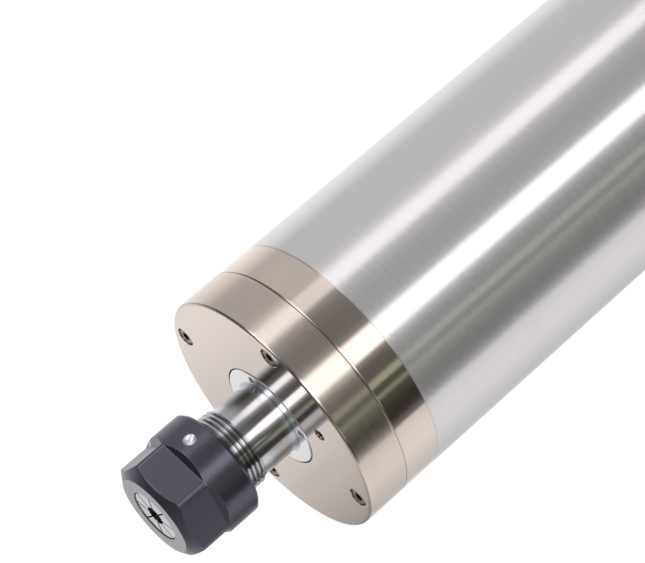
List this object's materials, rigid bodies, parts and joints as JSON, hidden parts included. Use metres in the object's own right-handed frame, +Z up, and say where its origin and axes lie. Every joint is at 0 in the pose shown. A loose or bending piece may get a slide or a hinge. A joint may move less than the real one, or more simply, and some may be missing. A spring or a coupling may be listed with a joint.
{
  "type": "motor spindle",
  "caption": "Water cooled router spindle: a cylindrical steel housing, a shaft with a slotted spring collet and a hexagon clamping nut at the nose, hose and power connections at the rear.",
  "frame": {"origin": "on the spindle axis, half way along the cylinder of the jacket that the clamp holds", "axes": "+Y along the spindle axis from the nose to the rear connections, +Z up, +X to the right seen from the nose"},
  "size_m": [0.08, 0.302, 0.08],
  "materials": {
    "cover_steel": "fine turned and polished, warm",
    "jacket_steel": "brushed along the turning lines, satin",
    "shaft_steel": "ground, bright",
    "ring_steel": "polished",
    "bearing_steel": "ground",
    "black_oxide": "blue black oxide, satin",
    "collet_steel": "fine ground",
    "screw_steel": "dark, oiled",
    "sleeve_aluminium": "machined",
    "lamination": "stacked sheet, varnished",
    "rotor_aluminium": "die cast",
    "copper": "enamelled wire, varnished",
    "wedge": "glass fibre laminate",
    "lead_jacket": "silicone, satin",
    "cage": "phenolic",
    "rubber": "moulded, satin",
    "brass": "turned",
    "nickel": "nickel plated, satin",
    "release_plastic": "moulded",
    "insulator": "moulded",
    "gold": "gold plated",
    "spring_steel": "hardened"
  },
  "bodies": {
    "housing": {"front_cover": "cover_steel", "front_cover_screws": "screw_steel", "purge_plug": "screw_steel", "front_cover_seal": "rubber", "front_housing": "cover_steel", "jacket_tube": "jacket_steel", "cooling_sleeve": "sleeve_aluminium", "sleeve_seals": "rubber", "stator_core": "lamination", "stator_winding": "copper", "slot_wedges": "wedge", "phase_leads": "lead_jacket", "front_outer_rings": "bearing_steel", "front_outer_spacer": "bearing_steel", "rear_housing": "cover_steel", "rear_outer_rings": "bearing_steel", "rear_outer_spacer": "bearing_steel", "preload_spring": "spring_steel", "rear_bearing_cap": "bearing_steel", "bearing_cap_screws": "screw_steel", "rear_cover_seal": "rubber", "port_seals": "rubber", "rear_cover": "cover_steel", "rear_cover_screws": "screw_steel", "inlet_fitting": "nickel", "inlet_seal": "rubber", "outlet_fitting": "nickel", "outlet_seal": "rubber", "socket_gasket": "rubber", "socket_shell": "nickel", "socket_insert": "insulator", "socket_pins": "gold", "socket_screws": "nickel"},
    "rotor": {"front_inner_rings": "bearing_steel", "front_inner_spacer": "bearing_steel", "rear_inner_rings": "bearing_steel", "rear_inner_spacer": "bearing_steel", "rear_locknut": "bearing_steel", "shaft": "shaft_steel", "dust_ring": "ring_steel", "labyrinth_ring": "bearing_steel", "rotor_core": "lamination", "rotor_cage": "rotor_aluminium", "balance_rings": "brass"},
    "front_cage_set": {"front_balls": "bearing_steel", "front_cages": "cage"},
    "rear_cage_set": {"rear_balls": "bearing_steel", "rear_cages": "cage"},
    "collet": {"collet": "collet_steel"},
    "nut": {"collet_nut": "black_oxide"},
    "inlet_ring": {"inlet_release_ring": "release_plastic"},
    "outlet_ring": {"outlet_release_ring": "release_plastic"}
  },
  "joints": [
    {"name": "rotor_spin", "type": "hinge", "parent": "housing", "child": "rotor", "pos_m": [0, 0, 0], "axis": [0, 1, 0], "continuous": true},
    {"name": "front_cage_spin", "type": "hinge", "parent": "housing", "child": "front_cage_set", "pos_m": [0, 0, 0], "axis": [0, 1, 0], "continuous": true},
    {"name": "rear_cage_spin", "type": "hinge", "parent": "housing", "child": "rear_cage_set", "pos_m": [0, 0, 0], "axis": [0, 1, 0], "continuous": true},
    {"name": "collet_slide", "type": "slide", "parent": "rotor", "child": "collet", "axis": [0, 1, 0], "range_m": [-0.012, 0]},
    {"name": "nut_turn", "type": "hinge", "parent": "collet", "child": "nut", "pos_m": [0, 0, 0], "axis": [0, 1, 0], "range_deg": [-2880, 0]},
    {"name": "inlet_ring_press", "type": "slide", "parent": "housing", "child": "inlet_ring", "axis": [0, -1, 0], "range_m": [0, 0.0015], "stiffness_N_per_m": 800},
    {"name": "outlet_ring_press", "type": "slide", "parent": "housing", "child": "outlet_ring", "axis": [0, -1, 0], "range_m": [0, 0.0015], "stiffness_N_per_m": 800}
  ],
  "couplings": [
    {"joint": "front_cage_spin", "follows": "rotor_spin", "ratio": 0.42},
    {"joint": "rear_cage_spin", "follows": "rotor_spin", "ratio": 0.41},
    {"joint": "nut_turn", "follows": "collet_slide", "rad_per_m": 4188.8}
  ]
}
